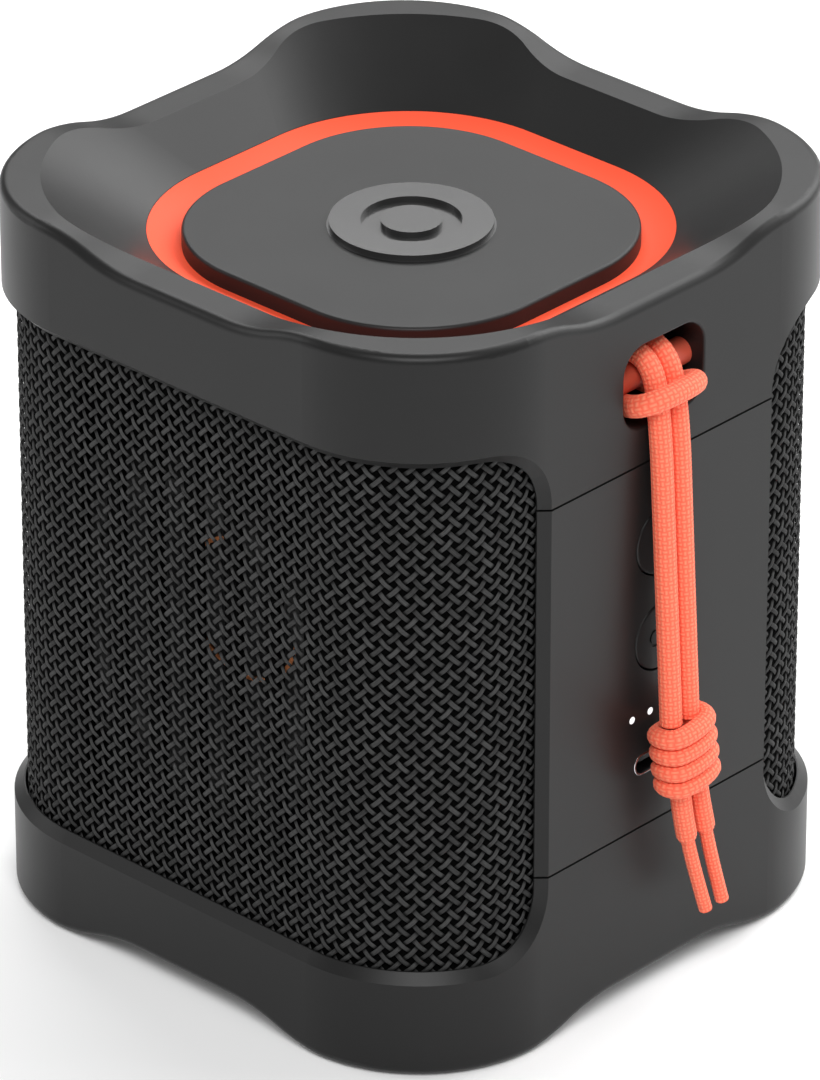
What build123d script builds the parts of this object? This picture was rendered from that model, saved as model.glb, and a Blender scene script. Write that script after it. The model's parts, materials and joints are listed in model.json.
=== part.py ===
"""Portable bluetooth speaker: a rounded-square column with a passive radiator in its top,
a wrap-round grille, a control strip and a wrist lanyard.

Millimetres, +Z up. The origin is on the column's axis, at the height of its feet.
The grille's widest face looks along -Y and the control strip looks along +X.
"""

import math
import os

from build123d import *

# ---- Outer shell -------------------------------------------------------------------
HALF = 43.75  # half the column's width, across the flats
CORNER = 21.4  # radius of its upright corners
HEIGHT = 104.4  # feet to the rim's corners
WAVE_DEPTH = 2.7  # how far rim and foot dip at the middle of each side
WAVE_FLAT = 8.0  # half the flat bottom of a dip
WAVE_END = 25.0  # where the dip has risen to full height
RIM_WIDTH = 5.35  # flat underside of the foot
RIM_ROUND = 1.2  # radius along the rim's outer edge
SEAM_LOW, SEAM_HIGH = 25.5, 78.9  # seams across the control strip
SEAM_GAP = 0.3
ARC_CENTRE = HALF - CORNER  # the upright corners' centre, on both axes

# ---- Grille opening ----------------------------------------------------------------
OPEN_LOW, OPEN_HIGH = 15.2, 88.3  # inner edges of the opening
STRIP_HALF = 22.3  # half the strip's width at its bevel's foot
OPEN_ROUND = 8.8  # radius of the opening's four corners
BEVEL = 1.3
BAND_INNER = HALF - 1.5  # half width inside the thin bands
STRIP_CORE = 21.0  # half width of the strip's thick middle
STRIP_BACK = 40.5  # its inner face
WEAVE_OUTER, WEAVE_INNER = 42.15, 41.15
CAGE_INNER = 39.7
GRILLE_END = 21.3  # the grille stops this far from the strip's middle
FLOOR_LOW, FLOOR_HIGH = 5.0, 7.0  # bottom cap's floor
DECK_LOW = 92.0  # underside of the top cap's deck

# ---- Passive radiator --------------------------------------------------------------
PLATE_HALF, PLATE_CORNER = 26.5, 18.8
PLATE_TOP, PLATE_UNDER = 96.6, 94.2
ROLL_OUTER = 31.05  # half width where the rubber roll meets the deck
ROLL_CENTRE = PLATE_HALF - PLATE_CORNER  # arc centre of plate and roll
BOWL_HALF, BOWL_CORNER = 43.39, 28.93  # the bowl, 1 mm above the rim's corners
DISH_EDGE = 96.5  # deck height where it meets the roll
POCKET_HALF = 33.2  # recess under the deck for the roll's land and its clamp
EMBLEM_R = 11.0

# ---- Controls on the strip ---------------------------------------------------------
BUTTON_HEIGHTS = {"power_button": 66.5, "pairing_button": 52.6}
BUTTON_R = 4.7
BUTTON_BORE_R = 4.92
LED_Z, LED_PITCH, LED_R = 42.13, 3.48, 0.51
USB_Z, USB_WIDTH, USB_HEIGHT = 34.75, 9.3, 3.2
BOARD_BACK, BOARD_FRONT = 33.0, 34.6
BOARD_SCREWS = [(y, z) for y in (-14.2, 14.2) for z in (30.6, 73.4)]

# ---- Lanyard -----------------------------------------------------------------------
HOLE_HALF, HOLE_LOW, HOLE_HIGH, HOLE_ROUND = 7.55, 84.2, 95.8, 3.7
WELL_BACK, WELL_WALL = 34.2, 1.0  # the blind well behind the slot
POST_X, POST_Z, POST_R = 39.85, 89.5, 1.85
CORD_R = 1.5
TAIL_R, SLEEVE_R = 0.93, 1.4  # a tail's core, and the braid round its upper part
KNOT_TOP, KNOT_BOTTOM = (47.95, -0.6, 42.45), (48.12, 0.8, 32.2)
KNOT_RADIUS, KNOT_SPREAD = 3.6, 1.45

# ---- Inside ------------------------------------------------------------------------
CABINET_X = (-38.5, 29.5)
CABINET_Y = 38.5
CABINET_Z = (7.0, 90.4)
CABINET_WALL = 2.0
DRIVER_X, DRIVER_FRONT, DRIVER_Z = -3.5, -37.0, 50.0
CELL_R, CELL_LOW, CELL_LENGTH = 9.15, 13.5, 65.0
CELL_PLACES = [(-15.5, 24.0), (4.5, 24.0)]
TIE_PLACES = [(-30.0, -30.0), (-30.0, 30.0), (22.6, -31.6), (22.6, 31.6)]
BASE_SCREWS = [(x, y) for x in (-26.5, 26.5) for y in (-20.0, 20.0)]
GROMMETS = [(8.5, 41.5), (-8.5, 39.5)]
WIRE_R, WIRE_PITCH = 0.6, 1.8


# ---- Helpers -----------------------------------------------------------------------
def block(x, y, z):
    """A box from its low and high limits on each axis."""
    size = [high - low for low, high in (x, y, z)]
    centre = [(high + low) / 2 for low, high in (x, y, z)]
    return Pos(*centre) * Box(*size)


def rounded_prism(half, corner, low, high):
    """An upright rounded-square prism on the column's axis."""
    return Pos(0, 0, low) * extrude(RectangleRounded(2 * half, 2 * half, corner), high - low)


def shell_prism(half, low, high):
    """A prism whose corners share the shell's arc centres."""
    return rounded_prism(half, half - ARC_CENTRE, low, high)


def radiator_prism(half, low, high):
    """A prism whose corners share the radiator's arc centres."""
    return rounded_prism(half, half - ROLL_CENTRE, low, high)


def rod(start, axis, radius, length):
    """A round bar from a point along a direction."""
    return Plane(origin=start, z_dir=axis) * Cylinder(
        radius, length, align=(Align.CENTER, Align.CENTER, Align.MIN)
    )


def swing(outline):
    """A solid of revolution about Z from (radius, height) points."""
    return revolve(make_face(Plane.XZ * Polyline(*outline, close=True)), Axis.Z)


def outside_distance(point):
    """Signed distance from a point to the shell's outer wall, seen from above."""
    over_x, over_y = abs(point.X) - ARC_CENTRE, abs(point.Y) - ARC_CENTRE
    if over_x > 0 and over_y > 0:
        return math.hypot(over_x, over_y) - CORNER
    return max(abs(point.X), abs(point.Y)) - HALF


def bevel_opening(shape):
    """Bevel the grille opening's edges where they lie on the outer wall."""
    edges = []
    for edge in shape.edges():
        spots = [edge @ t for t in (0.0, 0.5, 1.0)]
        on_wall = all(abs(outside_distance(p)) < 0.01 for p in spots)
        middle = edge @ 0.5
        inside_opening = OPEN_LOW - 0.01 < middle.Z < OPEN_HIGH + 0.01
        level = abs(spots[0].Z - spots[2].Z) < 1e-6
        on_seam = level and min(abs(middle.Z - SEAM_LOW), abs(middle.Z - SEAM_HIGH)) < SEAM_GAP
        # upright joints between the wall's flats and its corners aren't edges of the opening
        from_joint = min(abs(abs(middle.X) - ARC_CENTRE), abs(abs(middle.Y) - ARC_CENTRE))
        joint = not level and from_joint < 0.01
        if on_wall and inside_opening and not on_seam and not joint:
            edges.append(edge)
    return chamfer(edges, BEVEL)


def grille_opening():
    """Everything the grille shows through: three whole sides and both ends of the fourth."""
    tall = OPEN_HIGH - OPEN_LOW
    middle = (OPEN_HIGH + OPEN_LOW) / 2
    reach = 60.0
    flank = RectangleRounded(reach, tall, OPEN_ROUND)
    cut = block((-reach, 0.5), (-reach, reach), (OPEN_LOW, OPEN_HIGH))
    for side in (-1, 1):
        centre = (0, side * (STRIP_HALF + reach / 2), middle)
        cut += extrude(Plane(origin=centre, x_dir=(0, 1, 0), z_dir=(1, 0, 0)) * flank, reach)
    return cut


def wave_cutter(level, up):
    """Material above (or below) the wavy edge, as two crossed prisms."""
    run, rise = WAVE_END - WAVE_FLAT, WAVE_DEPTH
    radius = (run**2 + rise**2) / (4 * rise)
    half_turn = math.asin(run / 2 / radius) / 2
    side, drop = radius * math.sin(half_turn), radius * (1 - math.cos(half_turn))
    sign = -1 if up else 1
    low = level + sign * rise

    def slope(direction):
        full = (direction * WAVE_END, level)
        middle = (direction * (WAVE_END + WAVE_FLAT) / 2, level + sign * rise / 2)
        flat = (direction * WAVE_FLAT, low)
        bend = (direction * (WAVE_END - side), level + sign * drop)
        hollow = (direction * (WAVE_FLAT + side), low - sign * drop)
        return [ThreePointArc(full, bend, middle), ThreePointArc(middle, hollow, flat)]

    beyond = level - sign * 10
    outline = slope(-1) + slope(1) + [
        Line((-WAVE_FLAT, low), (WAVE_FLAT, low)),
        Line((-WAVE_END, level), (-WAVE_END, beyond)),
        Line((WAVE_END, level), (WAVE_END, beyond)),
        Line((-WAVE_END, beyond), (WAVE_END, beyond)),
    ]
    across = extrude(make_face(Plane.XZ * Curve(outline)), 60, both=True)
    return across + Rot(0, 0, 90) * across


def edges_near(shape, height, inset, spread=0.3):
    """Edges that lie at one height, all at one distance inside the outer wall."""
    found = []
    for edge in shape.edges():
        spots = [edge @ t for t in (0.0, 0.5, 1.0)]
        if all(abs(outside_distance(p) + inset) < spread and height[0] < p.Z < height[1] for p in spots):
            found.append(edge)
    return found


def round_path(points, radii):
    """A path of straight runs joined by tangent arcs."""
    return FilletPolyline(*points, radius=radii)


def tube(path, radius):
    """A round tube along a path."""
    start = Plane(origin=path @ 0, z_dir=path % 0)
    return sweep(start * Circle(radius), path=path)


def arc_radii(points, limit=None):
    """The largest arc at each corner that its two runs allow."""
    radii = []
    for before, here, after in zip(points, points[1:], points[2:]):
        into, out = Vector(*here) - Vector(*before), Vector(*after) - Vector(*here)
        turn = math.radians(into.get_angle(out))
        shorter = min(into.length, out.length)
        radius = 0.45 * shorter / math.tan(turn / 2)
        radii.append(min(radius, limit) if limit else radius)
    return radii


def ring_of_four(shape):
    """Four copies of a shape, a quarter turn apart."""
    return [Rot(0, 0, 90 * i) * shape for i in range(4)]


def group(shapes):
    """Separate solids kept in one node."""
    return Compound(children=list(shapes))


# ---- Shell pieces ------------------------------------------------------------------
OPENING = grille_opening()


def strip_core(low, high):
    """The thick middle of the strip, behind the thin outer wall."""
    return block((STRIP_BACK, BAND_INNER + 0.2), (-STRIP_CORE, STRIP_CORE), (low, high))


def dish_cutter():
    """The bowl inside the rim: it widens faster at the sides than at the corners."""
    bottom = RectangleRounded(2 * ROLL_OUTER, 2 * ROLL_OUTER, ROLL_OUTER - ROLL_CENTRE)
    top = RectangleRounded(2 * BOWL_HALF, 2 * BOWL_HALF, BOWL_CORNER)
    return loft([Pos(0, 0, DISH_EDGE) * bottom, Pos(0, 0, HEIGHT + 1) * top], ruled=True)


def lanyard_hole(grow, back, front):
    """The rounded slot in the top band, as a solid to add or cut."""
    wide, tall = 2 * (HOLE_HALF + grow), HOLE_HIGH - HOLE_LOW + 2 * grow
    place = Plane(origin=(back, 0, (HOLE_HIGH + HOLE_LOW) / 2), x_dir=(0, 1, 0), z_dir=(1, 0, 0))
    return extrude(place * RectangleRounded(wide, tall, HOLE_ROUND + grow), front - back)


def make_top_cap():
    cap = shell_prism(HALF, SEAM_HIGH + SEAM_GAP / 2, HEIGHT)
    cap -= shell_prism(BAND_INNER, SEAM_HIGH - 5, DECK_LOW)
    cap -= OPENING
    cap -= wave_cutter(HEIGHT, up=True)
    cap = fillet(edges_near(cap, (HEIGHT - WAVE_DEPTH - 0.5, HEIGHT + 0.5), 0.0, 0.02), RIM_ROUND)
    cap = bevel_opening(cap)
    cap -= dish_cutter()
    cap += strip_core(SEAM_HIGH + SEAM_GAP / 2, DECK_LOW + 0.1)
    groove = shell_prism(41.6, DECK_LOW - 1, 98.5) - shell_prism(39.4, DECK_LOW - 2, 99.5)
    cap -= groove
    cap += lanyard_hole(WELL_WALL, WELL_BACK - WELL_WALL, BAND_INNER + 0.2)
    for x, y in TIE_PLACES:
        cap += rod((x, y, DECK_LOW - 1.6), (0, 0, 1), 2.6, 4.0)
    cap -= radiator_prism(POCKET_HALF, DECK_LOW - 2, 96.0)
    cap -= radiator_prism(ROLL_OUTER, DECK_LOW, DISH_EDGE + 1)
    cap -= lanyard_hole(0, WELL_BACK, HALF + 5)
    cap -= rod((POST_X, -HOLE_HALF - 1.2, POST_Z), (0, 1, 0), POST_R, 2 * HOLE_HALF + 2.4)
    for x, y in TIE_PLACES:
        cap -= rod((x, y, DECK_LOW - 2), (0, 0, 1), 1.25, 4.6)
    lip = [
        e for e in cap.edges()
        if all(abs((e @ t).X - HALF) < 0.01 and abs((e @ t).Y) < HOLE_HALF + 0.1
               and HOLE_LOW - 0.1 < (e @ t).Z < HOLE_HIGH + 0.1 for t in (0, 0.5, 1))
    ]
    return fillet(lip, 0.35)


def make_bottom_cap():
    high = SEAM_LOW - SEAM_GAP / 2
    cap = shell_prism(HALF, 0.3, high)
    cap -= OPENING
    cap -= wave_cutter(0.3, up=False)
    cap = fillet(edges_near(cap, (-0.1, WAVE_DEPTH + 0.5), 0.0, 0.02), RIM_ROUND)
    cap = bevel_opening(cap)
    cap -= shell_prism(BAND_INNER, FLOOR_HIGH, high + 5)
    cap -= shell_prism(HALF - RIM_WIDTH, -1, FLOOR_LOW)
    cap += strip_core(FLOOR_HIGH - 0.1, high)
    cap -= rounded_prism(24.0, 8.0, 0, 10)
    for x, y in TIE_PLACES:
        cap -= rod((x, y, 0), (0, 0, 1), 1.7, 10)
    for x, y in BASE_SCREWS:
        cap -= rod((x, y, FLOOR_LOW - 1), (0, 0, 1), 1.0, 3.5)
    for pad in foot_pad_shapes(0.0, 1.5):
        cap -= pad
    return cap


def foot_pad_shapes(low, high):
    """Four curved rubber pads let into the foot at the column's corners."""
    inset, wide, sweep_half = 1.6, 2.6, 34.0
    outer, inner = CORNER - inset, CORNER - inset - wide
    ring = Pos(0, 0, low) * extrude(Circle(outer) - Circle(inner), high - low)
    reach = 40.0
    spread = math.radians(sweep_half)
    wedge = make_face(Polyline(
        (0, 0), (reach * math.cos(spread), -reach * math.sin(spread)),
        (reach * math.cos(spread), reach * math.sin(spread)), close=True))
    pad = ring & (Pos(0, 0, low - 1) * extrude(wedge, high - low + 2))
    placed = Pos(ARC_CENTRE, ARC_CENTRE, 0) * (Rot(0, 0, 45) * pad)
    return ring_of_four(placed)


def make_control_panel():
    low, high = SEAM_LOW + SEAM_GAP / 2, SEAM_HIGH - SEAM_GAP / 2
    panel = shell_prism(HALF, low, high) - shell_prism(BAND_INNER, low - 1, high + 1)
    panel -= OPENING
    panel = bevel_opening(panel)
    panel += strip_core(low, high)
    for y in (-14.0, 14.0):
        for z in (low, high):
            panel += block((39.3, STRIP_BACK), (y - 3, y + 3), (z - 2.5, z + 2.5))
    for z in BUTTON_HEIGHTS.values():
        panel -= rod((30, 0, z), (1, 0, 0), BUTTON_BORE_R, 20)
    for y in led_places():
        panel -= rod((30, y, LED_Z), (1, 0, 0), LED_R, 20)
    panel -= usb_slot(0.05, 30, 50)
    return panel


def led_places():
    return [LED_PITCH * (i - 1.5) for i in range(4)]


def usb_slot(grow, back, front):
    wide, tall = USB_WIDTH + 2 * grow, USB_HEIGHT + 2 * grow
    place = Plane(origin=(back, 0, USB_Z), x_dir=(0, 1, 0), z_dir=(1, 0, 0))
    return extrude(place * RectangleRounded(wide, tall, tall / 2 - 0.01), front - back)


def open_at_strip(shape):
    return shape - block((20, 60), (-GRILLE_END, GRILLE_END), (-10, 120))


def make_grille_weave():
    sheet = shell_prism(WEAVE_OUTER, OPEN_LOW - 1.2, OPEN_HIGH + 1.2)
    return open_at_strip(sheet - shell_prism(WEAVE_INNER, 0, 120))


def make_grille_cage():
    cage = shell_prism(WEAVE_INNER, FLOOR_HIGH, DECK_LOW) - shell_prism(CAGE_INNER, 0, 120)
    cage = open_at_strip(cage)
    for turn in (0, 90, 180):
        for i in range(6):
            offset = -17.5 + 7.0 * i
            slot = block((offset - 2.4, offset + 2.4), (-50, -30), (20.0, 84.0))
            cage -= Rot(0, 0, -turn) * slot
    return cage


# ---- Passive radiator --------------------------------------------------------------
def around(section, centre):
    """Carry an upright section round a rounded square whose corner arcs share a centre."""
    placed = Pos(0, centre, 0) * section
    quarter = extrude(placed, amount=2 * centre, dir=(0, -1, 0))
    quarter += revolve(placed, Axis((centre, centre, 0), (0, 0, 1)), 90)
    whole = quarter
    for copy in ring_of_four(quarter)[1:]:
        whole += copy
    return whole


def make_radiator_plate():
    plate = radiator_prism(PLATE_HALF, PLATE_UNDER, PLATE_TOP)
    top = [e for e in plate.edges() if (e @ 0).Z > PLATE_TOP - 0.01 and (e @ 1).Z > PLATE_TOP - 0.01]
    plate = fillet(top, 0.5)
    plate += radiator_prism(22.0, 92.6, PLATE_UNDER)
    plate -= Pos(0, 0, PLATE_TOP - 0.6) * extrude(Circle(EMBLEM_R), 2)
    return plate


def make_radiator_emblem():
    """A plain round badge: a raised ring round a raised dot."""
    disc = Pos(0, 0, PLATE_TOP - 0.6) * extrude(Circle(EMBLEM_R), 0.6)
    disc += Pos(0, 0, PLATE_TOP) * extrude(Circle(10.7) - Circle(6.6), 0.8)
    return disc + Pos(0, 0, PLATE_TOP) * extrude(Circle(4.0), 0.8)


def make_radiator_surround():
    """Rubber skirt, hollow side up, with a flat land inside and outside."""
    under, rim = PLATE_UNDER - 0.9, ROLL_OUTER - 0.05
    outline = [
        Line((POCKET_HALF - 0.1, 96.0), (rim, 96.0)),
        Line((rim, 96.0), (rim, DISH_EDGE - 0.05)),
        ThreePointArc((rim, DISH_EDGE - 0.05), (29.0, 95.05), (PLATE_HALF, PLATE_UNDER)),
        Line((PLATE_HALF, PLATE_UNDER), (22.1, PLATE_UNDER)),
        Line((22.1, PLATE_UNDER), (22.1, under)),
        Line((22.1, under), (26.2, under)),
        ThreePointArc((26.2, under), (29.2, 93.85), (31.75, 94.8)),
        Line((31.75, 94.8), (POCKET_HALF - 0.1, 94.8)),
        Line((POCKET_HALF - 0.1, 94.8), (POCKET_HALF - 0.1, 96.0)),
    ]
    return around(make_face(Plane.XZ * Curve(outline)), ROLL_CENTRE)


def make_radiator_clamp():
    return radiator_prism(POCKET_HALF - 0.1, 92.6, 94.8) - radiator_prism(31.95, 90, 96)


# ---- Controls ----------------------------------------------------------------------
def make_button(name):
    z = BUTTON_HEIGHTS[name]
    cap = rod((40.4, 0, z), (1, 0, 0), BUTTON_R, HALF - 40.4)
    rim = [e for e in cap.edges() if abs((e @ 0).X - HALF) < 0.01 and abs((e @ 0.5).X - HALF) < 0.01]
    cap = fillet(rim, 0.3)
    cap += rod((39.2, 0, z), (1, 0, 0), 5.9, 1.2)
    cap += rod((38.1, 0, z), (1, 0, 0), 1.5, 1.1)
    return cap - button_icon(name, z)


def button_icon(name, z):
    """A shallow engraved mark: a broken ring and bar, or two linked rings."""
    place = Plane(origin=(HALF - 0.2, 0, z), x_dir=(0, 1, 0), z_dir=(1, 0, 0))
    if name == "power_button":
        mark = Circle(1.9) - Circle(1.5) - Pos(0, 1.6) * Rectangle(1.5, 1.8)
        mark += Pos(0, 1.35) * Rectangle(0.4, 1.7)
    else:
        ring = Circle(1.35) - Circle(0.98)
        mark = Pos(-0.75, 0) * ring + Pos(0.75, 0) * ring
    return extrude(place * mark, 1.0)


def make_light_guide():
    guide = block((38.6, STRIP_BACK), (-7.5, 7.5), (LED_Z - 1.2, LED_Z + 1.2))
    for y in led_places():
        guide += rod((36.0, y, LED_Z), (1, 0, 0), LED_R, HALF - 36.0)
    return guide


def make_leds():
    return group(
        block((BOARD_FRONT, BOARD_FRONT + 0.8), (y - 0.8, y + 0.8), (LED_Z - 0.5, LED_Z + 0.5))
        for y in led_places()
    )


def make_tact_switches():
    switches = []
    for z in BUTTON_HEIGHTS.values():
        body = block((BOARD_FRONT, 36.9), (-3, 3), (z - 3, z + 3))
        switches.append(body + rod((36.9, 0, z), (1, 0, 0), 1.6, 0.5))
    return group(switches)


def make_usb_shell():
    shell = usb_slot(0, BOARD_FRONT, HALF)
    shell = fillet(shell.faces().sort_by(Axis.X)[-1].edges(), 0.15)
    return shell - usb_slot(-0.32, BOARD_FRONT + 1.0, HALF + 1)


def make_usb_tongue():
    base = usb_slot(-0.32, BOARD_FRONT + 1.0, 37.2)
    return base + block((37.2, 42.6), (-3.3, 3.3), (USB_Z - 0.35, USB_Z + 0.35))


def make_main_board():
    board = block((BOARD_BACK, BOARD_FRONT), (-17, 17), (27.5, 76.5))
    for y, z in BOARD_SCREWS:
        board -= rod((30, y, z), (1, 0, 0), 1.1, 8)
    return board


def make_board_screws():
    screws = []
    for y, z in BOARD_SCREWS:
        head = rod((BOARD_FRONT, y, z), (1, 0, 0), 1.9, 1.3) - hex_socket((36.0, y, z), 0.9)
        screws.append(head + rod((29.7, y, z), (1, 0, 0), 0.95, BOARD_FRONT - 29.7))
    return group(screws)


def hex_socket(place, depth, axis=(1, 0, 0)):
    """The drive recess in a screw's head, cut back from its top."""
    plane = Plane(origin=place, z_dir=axis)
    return extrude(plane * RegularPolygon(0.75, 6), -depth)


BACK_SIDE = {
    "radio_shield": [((31.2, BOARD_BACK), (-9, 5), (58, 70))],
    "main_chip": [((32.1, BOARD_BACK), (-4, 3), (45, 52))],
    "amplifier_chip": [((32.1, BOARD_BACK), (6, 11), (46, 51))],
    "power_inductors": [((30.4, BOARD_BACK), (-14, -8.5), (z, z + 5.5)) for z in (44, 52)],
    "chip_capacitors": [((31.7, BOARD_BACK), (y, y + 1.6), (40, 43.2)) for y in (-6, -3, 0, 3)],
    "wire_sockets": [((30.3, BOARD_BACK), (y - 3, y + 3), (32, 37)) for y in (8.5, -8.5)],
}


def make_board_parts(name):
    solids = [block(*limits) for limits in BACK_SIDE[name]]
    return solids[0] if len(solids) == 1 else group(solids)


# ---- Cabinet and what it holds -----------------------------------------------------
def cabinet_outline(inset):
    low, high = CABINET_X[0] + inset, CABINET_X[1] - inset
    y = CABINET_Y - inset
    big, small = 16.15 - inset, 10.0 - inset
    outline = Pos((low + high) / 2, 0) * Rectangle(high - low, 2 * y)
    outline = fillet([v for v in outline.vertices() if v.X < 0], big)
    return fillet([v for v in outline.vertices() if v.X > high - 1 and abs(v.Y) > y - 1], small)


def driver_place():
    """The driver's own frame: its +Z looks out along -Y."""
    return Plane(origin=(DRIVER_X, DRIVER_FRONT, DRIVER_Z), x_dir=(1, 0, 0), z_dir=(0, -1, 0))


def make_cabinet():
    low, high = CABINET_Z
    tub = Pos(0, 0, low) * extrude(cabinet_outline(0), high - low)
    tub -= Pos(0, 0, low + CABINET_WALL) * extrude(cabinet_outline(CABINET_WALL), high)
    tub += driver_place() * (Pos(0, 0, -2.6) * Cylinder(28.5, 8.2))  # thick seat round the driver
    tub &= Pos(0, 0, low) * extrude(cabinet_outline(0), high - low)
    for x, y in TIE_PLACES:
        column = rod((x, y, low), (0, 0, 1), 3.0, high - low)
        tub += column & (Pos(0, 0, low) * extrude(cabinet_outline(0), high - low))
    seat = driver_place()
    tub -= seat * Pos(0, 0, 5 - 1.5) * Cylinder(26.1, 10)
    tub -= seat * Cylinder(22.6, 40)
    for x, y in driver_screw_places():
        tub -= seat * Pos(x, y, -3) * Cylinder(0.95, 6)
    for x, y in TIE_PLACES:
        tub -= rod((x, y, 0), (0, 0, 1), 1.4, 120)
    for y, z in BOARD_SCREWS:
        stand = rod((CABINET_X[1] - 0.1, y, z), (1, 0, 0), 2.4, BOARD_BACK - CABINET_X[1] + 0.1)
        tub += stand
        tub -= rod((29.6, y, z), (1, 0, 0), 0.95, 5)
    for y, z in GROMMETS:
        tub -= rod((20, y, z), (1, 0, 0), 2.4, 15)
    return tub


def make_grommets():
    """Rubber bushes that seal the wires' way through the cabinet."""
    bushes = []
    for y, z in GROMMETS:
        bush = rod((27.5, y, z), (1, 0, 0), 2.4, 2.0) + rod((26.9, y, z), (1, 0, 0), 3.1, 0.6)
        for side in (-1, 1):
            bush -= rod((20, y + side * WIRE_PITCH / 2, z), (1, 0, 0), WIRE_R, 15)
        bushes.append(bush)
    return group(bushes)


def make_cabinet_gasket():
    low = CABINET_Z[1]
    outline = cabinet_outline(0.1) - cabinet_outline(CABINET_WALL - 0.1)
    ring = Pos(0, 0, low) * extrude(outline, DECK_LOW - low)
    for x, y in TIE_PLACES:
        ring -= rod((x, y, low - 1), (0, 0, 1), 3.1, 5)
    return ring


def driver_screw_places():
    angles = [math.radians(a) for a in (45, 135, 225, 315)]
    return [(24.2 * math.cos(a), 24.2 * math.sin(a)) for a in angles]


def make_driver():
    """The moving-coil driver's pieces, each about its own Z axis, cone looking up."""
    basket = swing([(26, 0), (22.3, 0), (21.4, -1.5), (16.2, -13.0), (12, -13.0), (12, -15.5),
                    (17, -15.5), (17, -14.0), (22.2, -2.9), (22.2, -1.5), (26, -1.5)])
    for i in range(4):
        window = Rot(0, 0, 45 + 90 * i) * (Pos(19, 0, -7.6) * Box(12, 16, 6.5))
        basket -= window
    for x, y in driver_screw_places():
        basket -= Pos(x, y, 0) * Cylinder(1.1, 6)
    pieces = {
        "driver_basket": basket,
        "driver_front_plate": swing([(10.4, -15.5), (17, -15.5), (17, -19), (10.4, -19)]),
        "driver_magnet": swing([(12, -19), (18, -19), (18, -27), (12, -27)]),
        "driver_yoke": swing([(0, -16), (9.2, -16), (9.2, -27), (17, -27), (17, -30), (0, -30)]),
        "driver_voice_coil": swing([(9.5, -8.6), (10.1, -8.6), (10.1, -21), (9.5, -21)]),
        "driver_cone": swing([
            (10.1, -9.6), (10.1, -8.6), (18.2, -1.6), (18.8, -1.6), (18.8, -2.2), (10.9, -9.1)]),
        "driver_spider": swing([
            (10.1, -11.4), (11.3, -11.4), (12.3, -10.6), (13.3, -11.4), (14.3, -10.6), (16.4, -11.2),
            (16.4, -11.6), (14.3, -11.1), (13.3, -11.9), (12.3, -11.1), (11.3, -11.9), (10.1, -11.9)]),
    }
    dome = Pos(0, 0, -19.5) * (Sphere(14.2) - Sphere(13.8))
    pieces["driver_dust_cap"] = dome & Cylinder(9.5, 18.0)
    gasket = swing([(22.5, 0.4), (25.8, 0.4), (25.8, 1.1), (22.5, 1.1)])
    roll = revolve(make_face(Plane.XZ * Curve([
        Line((17.9, -1.6), (18.6, -1.2)),
        ThreePointArc((18.6, -1.2), (20.3, 1.2), (22.1, 0.4)),
        Line((22.1, 0.4), (25.8, 0.4)),
        Line((25.8, 0.4), (25.8, 0.0)),
        Line((25.8, 0.0), (22.3, 0.0)),
        ThreePointArc((22.3, 0.0), (20.3, 0.75), (18.9, -1.6)),
        Line((18.9, -1.6), (17.9, -1.6)),
    ])), Axis.Z)
    screws = []
    for x, y in driver_screw_places():
        gasket -= Pos(x, y, 0) * Cylinder(1.1, 6)
        roll -= Pos(x, y, 0) * Cylinder(1.1, 6)
        head = rod((x, y, 1.1), (0, 0, 1), 1.6, 0.9) - hex_socket((x, y, 2.0), 0.6, (0, 0, 1))
        screws.append(head + rod((x, y, -5.6), (0, 0, 1), 0.95, 6.7))
    pieces.update({"driver_gasket": gasket, "driver_surround": roll, "driver_screws": group(screws)})
    return {name: driver_place().location * shape for name, shape in pieces.items()}


def make_cells():
    return group(rod((x, y, CELL_LOW), (0, 0, 1), CELL_R, CELL_LENGTH) for x, y in CELL_PLACES)


def make_cell_links():
    ends = (CELL_LOW - 0.3, CELL_LOW), (CELL_LOW + CELL_LENGTH, CELL_LOW + CELL_LENGTH + 0.3)
    return group(block((-18, 7), (21, 25.9), limits) for limits in ends)


def make_cell_cradle():
    inner = CABINET_Y - CABINET_WALL
    cradle = block((-27, 16), (26, inner), (CABINET_Z[0] + CABINET_WALL, 74))
    for x, y in CELL_PLACES:
        cradle -= rod((x, y, CELL_LOW - 0.4), (0, 0, 1), CELL_R, 90)
    return cradle & extrude(cabinet_outline(CABINET_WALL), 120)


def make_damping_pad():
    inner = CABINET_X[0] + CABINET_WALL
    return block((inner, inner + 4), (-14, 14), (18, 80))


def wires(routes):
    """Round wires along their routes."""
    return group(tube(round_path(route, arc_radii(route, 8.0)), WIRE_R) for route in routes)


def socket_exit(bush, side):
    """A wire's run out of its socket and through its bush into the cabinet."""
    y, z = GROMMETS[bush]
    y += side * WIRE_PITCH / 2
    return [(31.6, y, 37.0), (31.6, y, z), (22.0, y, z)]


def make_cell_wires():
    """One wire to the link over the cells, one to the link under them."""
    top, bottom = CELL_LOW + CELL_LENGTH + 0.3, CELL_LOW - 0.3
    over = [(16, 12, 60), (14, 15, 77), (10, 20, top + 3.5), (5, 23.5, top + 3.5), (5, 23.5, top)]
    under = [(17, 10, 30), (15, 12, 14), (9, 19, bottom - 2.8), (5, 23.5, bottom - 2.8), (5, 23.5, bottom)]
    return wires([socket_exit(0, 1) + over, socket_exit(0, -1) + under])


def make_driver_wires():
    ends = [[(21.5, -13.0, 33.0), (16.5, y, 32.5)] for y in (-20.0, -22.5)]
    return wires([socket_exit(1, side) + end for side, end in zip((1, -1), ends)])


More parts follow.
